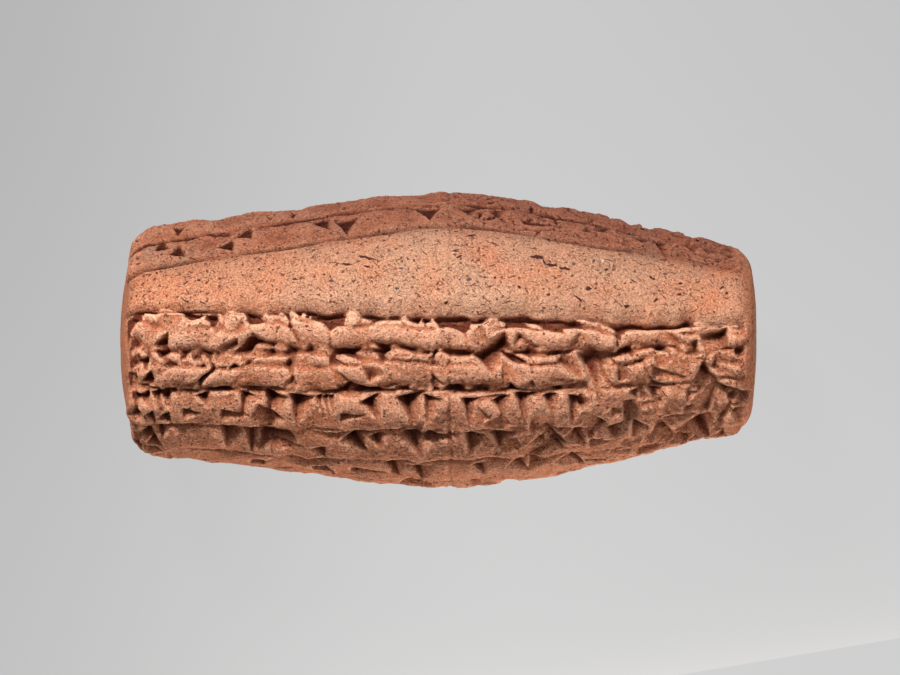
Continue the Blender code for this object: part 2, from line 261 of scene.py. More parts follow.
# the strokes of each kind. Leans are a middle and a spread, counts and downs are drawn from, and other
# pairs are ranges
signs = {
    "depth": {"least": 1.2, "gain": 0.2, "most": 2.6},
    "width": {"least": 2.2, "gain": 0.58, "most": 4.2},
    "ledge": {
        "start": (0, 1.4), "lean": (0, 5), "size": (0.8, 1.2), "width": 2.1, "depth": 0.8, "keel": 0.6,
        "crossedLength": (4.0, 6.0), "overlap": 0.4,
    },
    "upright": {
        "lean": (-90, 15), "size": (0.75, 1.3), "keel": -0.5, "apart": (0.78, 1.15), "start": 0.5,
        "overlap": 0.4, "counts": (1, 2, 2, 3), "crossedCounts": (1, 1, 2), "crossedBack": 1.8,
    },
    "fine": {
        "lean": (-86, 14), "downs": (0.08, 0.08, 0.4), "start": 0.6, "length": 0.55, "width": 1.2,
        "depth": 0.5, "keel": -0.2, "apart": (0.75, 1.0), "counts": (3, 4, 4, 5),
    },
    "corner": {
        "down": (0.1, 0.6), "lean": (-45, 20), "size": (0.85, 1.35), "start": 1.4, "length": 3.1,
        "width": 3.7, "keel": 0.0, "apart": (1.8, 2.8), "counts": (1, 2, 2),
    },
    "leastRoom": 1.0,  # a sign needs this much of the column
    "lastStart": 0.4,  # no stroke starts closer than this to the end of its column
    "lying": 45,  # strokes that lean less than this may run on past the end by pastEnd
    "pastEnd": 0.8,
}


def groupOfStrokes(draw, room, style):
    # one sign's place: how far it reaches along the line, and its strokes as
    # (across, down as a share of the line, lean, length, width, depth, keel)
    kind = draw.choices(("uprights", "ledges", "crossed", "fine", "corners"), style["kinds"])[0]
    deep = min(signs["depth"]["most"], signs["depth"]["least"] + signs["depth"]["gain"] * room)
    broad = min(signs["width"]["most"], max(signs["width"]["least"], signs["width"]["gain"] * room))
    strokes, across = [], 0.0
    if kind in ("ledges", "crossed"):
        ledge = signs["ledge"]
        length = draw.uniform(*(style["ledge"] if kind == "ledges" else ledge["crossedLength"]))
        for down in draw.choice(style["downs"]):
            start, lean = draw.uniform(*ledge["start"]), draw.gauss(*ledge["lean"])
            size = draw.uniform(*ledge["size"])
            width, depth = ledge["width"] * size, ledge["depth"] * deep
            strokes.append((start, down, lean, length * size, width, depth, ledge["keel"]))
        across = length - ledge["overlap"]
    if kind in ("uprights", "crossed"):
        upright = signs["upright"]
        count = draw.choice(upright["counts" if kind == "uprights" else "crossedCounts"])
        share = draw.uniform(*style["upright"])
        place = upright["start"] * broad + (across - upright["crossedBack"] if kind == "crossed" else 0.0)
        for index in range(count):
            down, lean = draw.uniform(*style["top"]), draw.gauss(*upright["lean"])
            size = draw.uniform(*upright["size"])
            length = share * room * size
            strokes.append((place, down, lean, length, broad * size, deep * size, upright["keel"]))
            place += broad * draw.uniform(*upright["apart"])
        across = max(across, place - upright["overlap"] * broad)
    if kind == "fine":
        fine = signs["fine"]
        lean, down, across = draw.gauss(*fine["lean"]), draw.choice(fine["downs"]), fine["start"]
        for index in range(draw.choice(fine["counts"])):
            length, depth = fine["length"] * room, fine["depth"] * deep
            strokes.append((across, down, lean, length, fine["width"], depth, fine["keel"]))
            across += draw.uniform(*fine["apart"])
    if kind == "corners":
        corner = signs["corner"]
        across = corner["start"]
        for index in range(draw.choice(corner["counts"])):
            down, lean = draw.uniform(*corner["down"]), draw.gauss(*corner["lean"])
            size = draw.uniform(*corner["size"])
            length, width = corner["length"] * size, corner["width"] * size
            strokes.append((across, down, lean, length, width, deep, corner["keel"]))
            across += draw.uniform(*corner["apart"])
    return across, strokes


def writeLine(clay, draw, ruling, height, xFrom, xTo, style, bare):
    x = xFrom + draw.uniform(0, style["gap"][1])
    while x < xTo - signs["leastRoom"]:
        room = math.radians(height) * sideRadius(x)
        across, strokes = groupOfStrokes(draw, room, style)
        for offset, down, lean, length, width, depth, keel in strokes:
            if x + offset < xTo - signs["lastStart"] and not bare[0] < x + offset < bare[1]:
                if abs(lean) < signs["lying"]:
                    length = min(length, xTo - x - offset + signs["pastEnd"])
                press(clay, x + offset, ruling - down * height, lean, length, width, depth, keel)
        x += across + draw.uniform(*style["gap"])


# the small prints close to the full end, two rows of them in each of the first lines
prints = {
    "lines": 15,
    "places": ((-47.5, 0.9), (-45.3, 0.65), (-42.8, 0.3)),  # x, and how likely a print is there
    "downs": (0.15, 0.62),
    "lean": (-55, 30),
    "size": (1.9, 3.1),
    "strayDown": (-0.08, 0.08),
    "strayAlong": (0, 0.3),
    "depth": 0.85,
    "keel": 0.2,
}


def pressEnds(clay, draw):
    for ruling, height in lines()[:prints["lines"]]:
        for x, chance in prints["places"]:
            for down in prints["downs"]:
                if draw.random() < chance:
                    lean, size = draw.gauss(*prints["lean"]), draw.uniform(*prints["size"])
                    angle = ruling - (down + draw.uniform(*prints["strayDown"])) * height
                    place, depth = x + draw.gauss(*prints["strayAlong"]), prints["depth"] * size
                    press(clay, place, angle, lean, size, size, depth, prints["keel"])


# the first lines under the strip, whose clay stands in thick rounded banks. A bank falls off over up and
# down on the two sides of its crest, and shares are shares of the line's height
banks = {
    "seed": 7,
    "lines": 2,
    "floor": (-2.2, -1.9),
    "floorPlaces": (-49, -45),  # the floor rises towards the full end
    "floorShares": (0.15, 1),
    "block": (5.0, 13.0),
    "gaps": (-1.2, -0.8, -0.4, -0.2, 0.6, 1.2),
    "shortest": 2.0,
    "overlap": 0.4,
    "room": 1.0,
    "lean": (0, 3),
    "skew": (0, 0.8),
    "crest": (0.42, 0.50),
    "up": (0.25, 0.20),
    "down": (0.42, 0.52),
    "top": (-0.15, 0.5),
    "roundUp": 3.2,
    "roundDown": 2.3,
    # how the banks waver, as how much, the shortest and longest wave, and a seed
    "bendAlong": ((0.12, 1.6, 6, 71), (0.6, 6, 25, 72)),
    "bendRound": ((0.07, 1.6, 6, 73), (0.24, 7, 25, 74)),
    "ledges": {
        "counts": (1, 1, 2), "part": (0.35, 0.9), "tilt": (0, 4), "share": (0.10, 0.20),
        "up": 0.10, "down": 0.17, "top": (-0.7, 0.1),
    },
    "props": {
        "counts": (1, 2, 2, 3), "tilt": (90, 25), "top": (-1.4, -0.2), "size": (0.7, 1.4),
        "share": (0.78, 0.94), "reach": 0.24, "down": 1.2,
    },
    "spurs": {
        "chance": 0.15, "start": 0.5, "tilt": (-65, -40), "counts": (2, 3, 4), "share": 0.13,
        "reach": 1.3, "up": 0.5, "down": 0.8, "top": (-0.6, 0.0), "apart": (1.9, 2.7),
    },
    "knobs": {
        "counts": (0, 0, 1, 1), "tilt": (0, 35), "top": (-0.5, 0.2), "size": (1.1, 2.8),
        "share": (0.0, 0.16), "up": 0.6, "down": 0.8,
    },
}


def bank(clay, x, angle, lean, halfLength, up, down, top, floor, skew=0.0):
    # a thick rounded ledge, whose crest runs through (x, angle) along lean
    reach = min(up, halfLength)
    place, dx, dy = clay.window(x, angle, halfLength + down + banks["room"])
    t, q = leaned(dx + clay.bendX[place], dy + clay.bendY[place], lean)
    beyond = np.maximum(np.abs(t + skew * q) - (halfLength - reach), 0) / reach
    away = np.hypot(beyond, q / np.where(q > 0, up, down))
    rise = np.sqrt(np.clip(1 - away ** np.where(q > 0, banks["roundUp"], banks["roundDown"]), 0, 1))
    raised = np.where(away < 1, floor + (top - floor) * rise, -farOff)
    clay.base[place] = np.maximum(clay.base[place], raised)


def bankBlocks(index, xFrom, xTo):
    # where a banked line's blocks begin and how long they are
    draw = random.Random(banks["seed"] + index)
    found, x = [], xFrom
    while x < xTo - banks["shortest"]:
        length = min(draw.uniform(*banks["block"]), xTo - x)
        found.append((x, length))
        x += length + draw.choice(banks["gaps"])
    return found


def bankLine(clay, draw, index, ruling, height, xFrom, xTo):
    floor = banks["floor"][index]
    ledge, prop, spur, knob = banks["ledges"], banks["props"], banks["spurs"], banks["knobs"]
    for x, length in bankBlocks(index, xFrom, xTo):
        middle = x + length / 2
        room = math.radians(height) * sideRadius(middle)
        lean, crest = draw.gauss(*banks["lean"]), draw.uniform(*banks["crest"])
        skew = draw.gauss(*banks["skew"])
        half, up, down = length / 2 + banks["overlap"], banks["up"][index] * room, banks["down"][index] * room
        top = draw.uniform(*banks["top"])
        bank(clay, middle, ruling - crest * height, lean, half, up, down, top, floor, skew)
        for count in range(draw.choice(ledge["counts"])):
            part = draw.uniform(*ledge["part"]) * length
            along = x + draw.uniform(0, length - part) + part / 2
            tilt, share = lean + draw.gauss(*ledge["tilt"]), draw.uniform(*ledge["share"])
            up, down, top = ledge["up"] * room, ledge["down"] * room, draw.uniform(*ledge["top"])
            bank(clay, along, ruling - share * height, tilt, part / 2, up, down, top, floor, skew)
        for count in range(draw.choice(prop["counts"])):
            # a prop under the ledge
            along, tilt = x + draw.uniform(0, length), draw.gauss(*prop["tilt"])
            top, size, share = (draw.uniform(*prop[name]) for name in ("top", "size", "share"))
            reach, down = prop["reach"] * room, prop["down"] * size
            bank(clay, along, ruling - share * height, tilt, reach, size, down, top, floor)
        if draw.random() < spur["chance"]:
            # a run of slanting spurs between deep prints
            along, tilt = x + draw.uniform(0, spur["start"] * length), draw.uniform(*spur["tilt"])
            for count in range(draw.choice(spur["counts"])):
                angle, top = ruling - spur["share"] * height, draw.uniform(*spur["top"])
                bank(clay, along, angle, tilt, spur["reach"], spur["up"], spur["down"], top, floor)
                along += draw.uniform(*spur["apart"])
        for count in range(draw.choice(knob["counts"])):
            # a knob that reaches up to the ruling
            along, tilt = x + draw.uniform(0, length), draw.gauss(*knob["tilt"])
            top, size, share = (draw.uniform(*knob[name]) for name in ("top", "size", "share"))
            up, down = knob["up"] * size, knob["down"] * size
            bank(clay, along, ruling - share * height, tilt, size, up, down, top, floor)


def floorShare(xs):
    return np.interp(xs, banks["floorPlaces"], banks["floorShares"])


# each line is a low step: cut back under its ruling, proud below, and rounded into the next. The steps
# come and go along the barrel, and the banked lines start from a rough floor
steps = {
    "cutBack": (1.5, 1.2, 0.9, 0.7),  # for the first lines that aren't banked, the last one for the rest
    "proud": 0.35,
    "riseShare": 0.4,
    "fallShare": 0.14,
    "fallDepth": 0.6,
    "clear": 0.1,
    "bend": (0.06, 5, 30, 51),
    # middle, how much it changes, least, most, shortest and longest wave, seed
    "change": (0.75, 0.4, 0.15, 1.4, 4, 18, 52),
    "floor": (-1.6, 0.6, -2.5, -0.6, 2.5, 9, 53),
}


def shapeLines(clay):
    found = lines()
    ends = [writing["stripBottom"] - ruling for ruling, height in found] + [writtenAngle]
    down = (writing["stripBottom"] - clay.angles) % 360
    place = np.interp(down, ends, range(len(ends)), right=-1.0)[None, :]
    bends = (place > banks["lines"] + steps["clear"]) & (place < len(found) - steps["clear"])
    place = place + clay.waves(*steps["bend"]) * bends
    line = np.floor(place).astype(int)
    share = place - line
    rise, fall = np.clip(share / steps["riseShare"], 0, 1), np.clip((1 - share) / steps["fallShare"], 0, 1)
    cutBack = np.array([*steps["cutBack"], *[steps["cutBack"][-1]] * len(found)])
    cut = cutBack[np.maximum(line - banks["lines"], 0)] * (1 - rise) ** 2
    swell = steps["proud"] - cut - steps["fallDepth"] * (1 - np.sqrt(1 - (1 - fall) ** 2))
    swell = swell * clay.varied(*steps["change"])
    floor = clay.varied(*steps["floor"]) * floorShare(clay.xs)[:, None]
    shaped = np.where(line < banks["lines"], floor, swell) * (line >= 0) * (line < len(found))
    clay.base = shaped * carvedShare(clay.xs)[:, None]


# the strip's lower edge rolls over like a thick uneven lip before it drops to the first line
stripEdge = {
    "wander": (1.2, 3, 20, 33),
    "rollAngle": 11.0,
    "rollDepth": 2.0,
    "swell": 0.25,
    "swellAt": 9.0,
    "swellSpread": 4.0,
    "undercut": 6,
}


def shapeStrip(clay):
    edge = writing["stripBottom"] + clay.waves(*stripEdge["wander"])[:, 0]
    above = (clay.angles[None, :] - edge[:, None] + 180) % 360 - 180
    share = np.clip(1 - above / stripEdge["rollAngle"], 0, 1)
    swell = stripEdge["swell"] * np.exp(-((above - stripEdge["swellAt"]) / stripEdge["swellSpread"]) ** 2)
    roll = -stripEdge["rollDepth"] * (1 - np.sqrt(1 - share ** 2)) + swell
    roll *= carvedShare(clay.xs)[:, None]
    over = (above >= 0) & (above < writing["stripTop"] - edge[:, None])
    under = (above < 0) & (above > -stripEdge["undercut"])
    floor = banks["floor"][0] * (carvedShare(clay.xs) * floorShare(clay.xs))[:, None]
    clay.base = np.where(over, roll, np.where(under, floor, clay.base))


# the furrow above each line, deep in some places and nearly pressed shut in others
furrows = {
    "seed": 61,
    "depth": 0.4,
    "halfWidth": 0.42,
    "change": (0.9, 0.6, 0.1, 2, 3, 14),
    "changeColumn": 5,
    "wander": (0.22, 6, 40),
    "wanderSeed": 21,
    "deepOnes": 2,  # the last ones, close above the strip, are deeper by extraDepth of the depth
    "extraDepth": 0.5,
}
# the line that parts the two columns, fainter on the smooth strip
divider = {"depth": 0.35, "halfWidth": 0.45, "wander": (0.18, 6, 60, 31), "wanderRow": 3, "inStrip": 0.5}


def ruleLines(clay):
    inside = carvedShare(clay.xs)
    rulings = [ruling for ruling, height in lines()] + [writing["stripTop"] - 360]
    for index, ruling in enumerate(rulings):
        wander = clay.waves(*furrows["wander"], furrows["wanderSeed"] + index)[:, 0]
        change = clay.varied(*furrows["change"], furrows["seed"] + index)[:, furrows["changeColumn"]]
        depth = furrows["depth"] * change
        if index >= len(rulings) - furrows["deepOnes"]:
            depth = furrows["extraDepth"] * furrows["depth"] + depth
        away = (clay.angles - ruling + 180) % 360 - 180
        distance = np.abs(np.radians(away)[None, :] * clay.radii[:, None] - wander[:, None])
        furrow = np.clip(1 - distance / furrows["halfWidth"], 0, 1)
        clay.relief = np.minimum(clay.relief, -(depth * inside)[:, None] * furrow)


def divide(clay):
    wander = clay.waves(*divider["wander"])[divider["wanderRow"], :]
    distance = np.abs(clay.xs[:, None] - writing["dividerX"] - wander[None, :])
    strength = np.where(inStrip(clay.angles), divider["inStrip"], 1.0)[None, :]
    cut = divider["depth"] * strength * np.clip(1 - distance / divider["halfWidth"], 0, 1)
    clay.relief = np.minimum(clay.relief, -cut)


def carve(clay):
    draw, bankDraw = random.Random(writing["seed"]), random.Random(banks["seed"])
    first, last = writtenSpan()
    columns = (
        (first, writing["dividerX"] - writing["dividerMargin"]),
        (writing["dividerX"] + writing["dividerMargin"], last),
    )
    ruleLines(clay)
    found = lines()
    for index, (ruling, height) in enumerate(found):
        if index < banks["lines"]:
            bankLine(clay, bankDraw, index, ruling, height, first, last)
            continue
        bare = writing["bare"].get(index, (0, 0))
        for column, (xFrom, xTo) in enumerate(columns):
            sparse = index >= len(found) - writing["sparseLines"] and column == 0
            writeLine(clay, draw, ruling, height, xFrom, xTo, sparseStyle if sparse else evenStyle, bare)
    pressEnds(clay, bankDraw)


# flat scars all over the writing, more and deeper towards the narrow end
scars = {
    "seed": 16,
    "count": 420,
    "along": (-46, 47, 47),
    "stripMargin": 6,
    "outlines": ((240, 300), (75, 105)),  # the angles that the photograph shows as the barrel's outline
    "bandEnd": 120,  # up to here is the band above the strip
    "leftOutPlaces": (-5, 15),
    "leftOutInBand": 0.93,
    "leftOut": 0.6,
    "leftOutAtOutline": 0.75,
    "firstAngle": 80,
    "reach": (1.2, 3.8),
    "narrowness": 0.7,
    "flatShare": 0.9,
    "room": 1.5,
    "depth": (-0.1, 0.8),
    "depthShare": 0.7,
    "moreDepth": 0.4,
    "depthInBand": 0.6,
    "slope": (0, 0.34),
}


def chipOff(clay, x, angle, lean, reach, depth, riseAlong, riseAcross):
    # a flat scar with straight sides, turned by lean
    place, dx, dy = clay.window(x, angle, scars["room"] * reach)
    t, q = leaned(dx, dy, lean)
    away = np.maximum(np.abs(t), np.abs(q) / scars["narrowness"]) / reach
    scar = -depth + riseAlong * t + riseAcross * q + farOff * np.clip(away - scars["flatShare"], 0, 1)
    clay.scars[place] = np.minimum(clay.scars[place], scar)


def damage(clay):
    draw = random.Random(scars["seed"])
    for index in range(scars["count"]):
        x = draw.triangular(*scars["along"])
        margin = scars["stripMargin"]
        angle = draw.uniform(writing["stripTop"] + margin, 360 + writing["stripBottom"] - margin)
        inBand = angle < scars["bandEnd"]
        atOutline = any(low < angle < high for low, high in scars["outlines"])
        leftOut = (scars["leftOutInBand" if inBand else "leftOut"], scars["leftOutAtOutline"] * atOutline)
        if draw.random() < np.interp(x, scars["leftOutPlaces"], leftOut):
            continue
        reach = draw.uniform(*scars["reach"])
        more = scars["depthShare"] + scars["moreDepth"] * (x > scars["leftOutPlaces"][1])
        depth = draw.uniform(*scars["depth"]) * more
        rises = draw.gauss(*scars["slope"]), draw.gauss(*scars["slope"])
        lean = draw.uniform(0, 180)
        if angle > scars["firstAngle"]:
            chipOff(clay, x, angle, lean, reach, depth * (scars["depthInBand"] if inBand else 1.0), *rises)


# what use and weather did. Pairs of tuples are places, or angles, and what holds there
wear = {
    "deepest": ((20, 36), (-3.4, -2.3)),
    "crestSpread": 0.45,
    "crestHeight": 0.24,
    "crisp": 0.08,
    "soft": 0.24,
    "softFrom": 8,
    "softOver": 30,
    "softPatches": (0.35, 5, 25, 41),
    "softAboveStrip": ((45, 60, 110, 125), (0, 0.25, 0.25, 0)),
    "softMost": 0.5,
    "dents": 0.14,
    "dentWaves": (4, 16, 42),
    "swells": (0.07, 10, 60, 43),
    "grain": 0.012,
    "carvedGrain": 0.02,
    "softGrain": 0.03,
    "grainWaves": (0.7, 3, 44),
    "crumble": 0.035,
    "crumbleWaves": (0.4, 1.5, 45),
    "crumbleAround": ((-65, -50, 45, 55), (0, 1, 1, 0)),
    # the band above the strip, right of the divider, is worn down and has thin crevices
    "bandAround": ((50, 54, 100, 125), (0, 1, 1, 0)),
    "bandFadeIn": 3,
    "bandWornDown": 0.55,
    "creviceWaves": (1.6, 9, 46, 2.8),
    "creviceWidth": 0.2,
    "creviceDepth": 1.3,
    "creviceAngles": ((80, 95), (1, 0.15)),
    "creviceChange": (0.7, 0.6, 0, 1.2, 4, 15, 47),
    "poleRadii": (1, 9),  # the end faces are even close to their middles
}


def weather(clay):
    smoothStrip = inStrip(clay.angles)
    carved = carvedShare(clay.xs)[:, None] * (1 - smoothStrip)[None, :]
    clay.lips[:, smoothStrip] = 0
    band = np.interp(clay.angles, *wear["bandAround"])[None, :]
    band = band * np.clip(clay.xs / wear["bandFadeIn"], 0, 1)[:, None] * carved
    clay.relief *= 1 - wear["bandWornDown"] * band
    deepest = np.interp(clay.xs, *wear["deepest"])[:, None]
    surface = np.maximum(clay.base + clay.relief + clay.lips, deepest)
    surface = np.minimum(surface, clay.scars)
    surface = np.minimum(surface, clay.blurred(surface, wear["crestSpread"]) + wear["crestHeight"])
    crisp, soft = clay.blurred(surface, wear["crisp"]), clay.blurred(surface, wear["soft"])
    worn = np.clip((clay.xs - wear["softFrom"]) / wear["softOver"], 0, 1)[:, None]
    worn = worn + clay.waves(*wear["softPatches"]) + np.interp(clay.angles, *wear["softAboveStrip"])[None, :]
    worn = np.clip(worn, 0, wear["softMost"]) * carved
    surface = crisp * (1 - worn) + soft * worn
    surface += carved * wear["dents"] * clay.noise(*wear["dentWaves"])
    surface += clay.waves(*wear["swells"])
    grain = wear["grain"] + wear["carvedGrain"] * carved + wear["softGrain"] * worn
    surface += grain * clay.noise(*wear["grainWaves"])
    front = np.interp(clay.around, *wear["crumbleAround"])[None, :] * carved
    surface += wear["crumble"] * front * clay.noise(*wear["crumbleWaves"])
    crevices = np.maximum(1 - np.abs(clay.noise(*wear["creviceWaves"])) / wear["creviceWidth"], 0)
    crevices *= np.interp(clay.angles, *wear["creviceAngles"])[None, :]
    surface -= wear["creviceDepth"] * band * crevices * clay.varied(*wear["creviceChange"])
    return surface * np.interp(clay.radii, wear["poleRadii"], (0, 1))[:, None]


def placed(name, data):
    thing = bpy.data.objects.new(name, data)
    bpy.context.scene.collection.objects.link(thing)
    return thing


def modified(piece):
    # the piece's mesh as its modifiers leave it
    evaluated = piece.evaluated_get(bpy.context.evaluated_depsgraph_get())
    return bpy.data.meshes.new_from_object(evaluated)


def turnedMesh(clay):
    # the profile turned round the long axis, with a pole at each end
    bm = bmesh.new()
    verts = [bm.verts.new((x * mm, 0, radius * mm)) for x, radius in zip(clay.xs, clay.radii)]
    for pair in zip(verts, verts[1:]):
        bm.edges.new(pair)
    profile = bpy.data.meshes.new("clayProfile")
    bm.to_mesh(profile)
    bm.free()
    lathe = placed("clayLathe", profile)
    screw = lathe.modifiers.new("turn", "SCREW")
    screw.axis = "X"
    screw.steps = screw.render_steps = clay.turns
    screw.use_merge_vertices = True
    screw.merge_threshold = 1e-5
    screw.use_normal_flip = True
    mesh = modified(lathe)
    bpy.data.objects.remove(lathe)
    return mesh


def coordinates(mesh):
    found = np.empty(len(mesh.vertices) * 3, np.float32)
    mesh.vertices.foreach_get("co", found)
    return found.reshape(-1, 3).astype(float)


def columnAt(clay, angle):
    return np.round(angle / 360 * clay.turns).astype(int) % clay.turns


def raiseRelief(clay, mesh, surface):
    points = coordinates(mesh)
    row = np.searchsorted((clay.xs[1:] + clay.xs[:-1]) / 2 * mm, points[:, 0])
    angle = np.degrees(np.arctan2(points[:, 1], points[:, 2]))
    height = surface[row, columnAt(clay, angle)]
    angle = np.radians(angle + bow(clay.xs[row], clay.radii[row], angle))
    radius = (clay.radii[row] + clay.outRadius[row] * height) * mm
    points[:, 0] = (clay.xs[row] + clay.outX[row] * height) * mm
    points[:, 1] = radius * np.sin(angle)
    points[:, 2] = np.maximum(radius * np.cos(angle) + axisHeight * mm, 0)
    mesh.vertices.foreach_set("co", points.astype(np.float32).ravel())
    mesh.update()


def thinned(piece, mostTriangles):
    # gathers the points on the creases and lets the smooth clay have fewer
    modifier = piece.modifiers.new("thin", "DECIMATE")
    triangles = sum(len(face.vertices) - 2 for face in piece.data.polygons)
    modifier.ratio = min(1.0, mostTriangles / triangles)
    mesh = modified(piece)
    piece.modifiers.remove(modifier)
    old = piece.data
    piece.data = mesh
    bpy.data.meshes.remove(old)


# where painted shade darkens the hollows and, with some soil, the band above the strip, and where the smooth
# strip has its paler slip. Pairs of tuples are places, or angles, and shares
shadeSoilAndSlip = {
    "spreads": (1.2, 3.0),
    "fineSpread": 0.3,
    "hollowAlong": ((-44, -40, 12, 38), (1.3, 1, 1, 0.6)),
    "hollowAround": ((-110, -80, -40, -25, 48, 60, 110, 125), (1, 0.5, 0.5, 1, 1, 2.2, 2.2, 1)),
    # painted shade with some soil: none on the strip, some on the lower lines, darkest over the band above
    # the strip and round the back
    "shadeAndSoilAround": ((-180, -60, 0, 8, 9, 30, 44, 50, 70, 180), (0.6, 0.35, 0.2, 0.1, 0, 0, 0.25, 0.85, 1, 1)),
    "shadeAndSoilAboveStrip": ((-45, -15, 0, 6), (0.68, 0.92, 0.92, 1)),
    "aboveStrip": 44,
    "faceStart": 48.6,
    "faceFade": 3,
    "shadeAndSoilOnFaces": 0.4,
    "smoothAlong": ((-45, -10, 5, 40), (0.1, 0.9, 0.95, 0.7)),
    "smoothSpread": 0.6,
    "smoothChange": (0.8, 0.25, 0, 1, 5, 30, 81),
}


def markHollows(clay, piece, surface):
    # how far each point lies under the clay around it, for painted shade in the hollows and a painted
    # highlight on the crests
    points = coordinates(piece.data)
    near, wide = shadeSoilAndSlip["spreads"]
    hollow = 0.5 * (clay.blurred(surface, near) + clay.blurred(surface, wide)) - surface
    hollow *= np.interp(clay.xs, *shadeSoilAndSlip["hollowAlong"])[:, None]
    hollow *= np.interp(clay.around, *shadeSoilAndSlip["hollowAround"])[None, :]
    fine = clay.blurred(surface, shadeSoilAndSlip["fineSpread"]) - surface
    row = np.clip(np.searchsorted(clay.xs, points[:, 0] / mm), 0, len(clay.xs) - 1)
    turned = np.degrees(np.arctan2(points[:, 1], points[:, 2] - axisHeight * mm))
    angle = turned
    for count in range(4):
        angle = turned - bow(clay.xs[row], clay.radii[row], angle)
    column = columnAt(clay, angle)
    aboveStrip = np.interp(clay.xs, *shadeSoilAndSlip["shadeAndSoilAboveStrip"])[:, None]
    shadeAndSoil = np.interp(clay.around, *shadeSoilAndSlip["shadeAndSoilAround"])[None, :]
    shadeAndSoil = shadeAndSoil * np.where(clay.around > shadeSoilAndSlip["aboveStrip"], aboveStrip, 1)
    side = np.clip((shadeSoilAndSlip["faceStart"] - np.abs(clay.xs)) / shadeSoilAndSlip["faceFade"], 0, 1)[:, None]
    shadeAndSoil = shadeAndSoil * side + shadeSoilAndSlip["shadeAndSoilOnFaces"] * (1 - side)
    smooth = np.outer(np.interp(clay.xs, *shadeSoilAndSlip["smoothAlong"]), inStrip(clay.angles))
    smooth = clay.blurred(smooth, shadeSoilAndSlip["smoothSpread"]) * clay.varied(*shadeSoilAndSlip["smoothChange"]) * side
    for name, field in (("hollow", hollow), ("fineHollow", fine), ("shadeAndSoil", shadeAndSoil), ("smooth", smooth)):
        layer = piece.data.attributes.new(name, "FLOAT", "POINT")
        layer.data.foreach_set("value", field[row, column].astype(np.float32))


def makeBarrel():
    clay = Clay(barrel["step"])
    print("clay grid", clay.relief.shape)
    shapeLines(clay)
    shapeStrip(clay)
    carve(clay)
    damage(clay)
    divide(clay)
    print("strokes pressed")
    surface = weather(clay)
    mesh = turnedMesh(clay)
    raiseRelief(clay, mesh, surface)
    piece = placed("clayBarrel", mesh)
    print("relief raised on", len(mesh.vertices), "points")
    thinned(piece, barrel["mostTriangles"])
    piece.data.shade_smooth()
    markHollows(clay, piece, surface)
    print("thinned to", len(piece.data.polygons), "triangles")
    return piece


class Nodes:
    # a new material, with short ways to add and join its nodes
    def __init__(self, name):
        self.material = bpy.data.materials.new(name)
        self.material.use_nodes = True
        self.tree = self.material.node_tree
        self.shader = self.tree.nodes["Principled BSDF"].inputs

    def add(self, kind, values=(), links=(), **settings):
        node = self.tree.nodes.new("ShaderNode" + kind)
        for name, value in settings.items():
            setattr(node, name, value)
        for name, value in dict(values).items():
            node.inputs[name].default_value = value
        for name, socket in dict(links).items():
            self.tree.links.new(socket, node.inputs[name])
        return node

    def give(self, socket, value):
        # a link from another node, a colour or a number
        if isinstance(value, bpy.types.NodeSocket):
            self.tree.links.new(value, socket)
        else:
            socket.default_value = (*value, 1) if isinstance(value, tuple) else value

    def noise(self, where, scale, detail=2.0, rough=0.5):
        values = {"Scale": scale, "Detail": detail, "Roughness": rough}
        return self.add("TexNoise", values, {"Vector": where}).outputs["Fac"]

    def ramp(self, value, low, high, out=(0.0, 1.0), blend="LINEAR"):
        values = {"From Min": low, "From Max": high, "To Min": out[0], "To Max": out[1]}
        return self.add("MapRange", values, {"Value": value}, interpolation_type=blend).outputs["Result"]

    def maths(self, operation, first, second):
        node = self.add("Math", operation=operation)
        self.give(node.inputs[0], first)
        self.give(node.inputs[1], second)
        return node.outputs[0]

    def times(self, first, second):
        return self.maths("MULTIPLY", first, second)

    def mix(self, share, first, second, blend="MIX"):
        node = self.add("Mix", data_type="RGBA", blend_type=blend)
        for index, value in ((0, share), (6, first), (7, second)):
            self.give(node.inputs[index], value)
        return node.outputs[2]

    def tinted(self, share, colour, tint):
        return self.mix(share, colour, self.mix(1.0, colour, tint, "MULTIPLY"))

    def moved(self, where, turn, size, place=(0.0, 0.0, 0.0)):
        values = {"Location": place, "Rotation": turn, "Scale": size}
        return self.add("Mapping", values, {"Vector": where}, vector_type="TEXTURE").outputs["Vector"]

    def marks(self, where, places):
        # long or round spots on the barrel's upper side
        found = 0.0
        for x, y, turn, reach, half in places:
            place = (x * mm, y * mm, marks["height"] * mm)
            size = (reach * mm, half * mm, marks["depth"] * mm)
            inside = self.moved(where, (0.0, 0.0, math.radians(turn)), size, place)
            spot = self.add("TexGradient", links={"Vector": inside}, gradient_type="SPHERICAL").outputs["Fac"]
            found = self.maths("MAXIMUM", found, spot)
        return self.ramp(found, *marks["edge"])


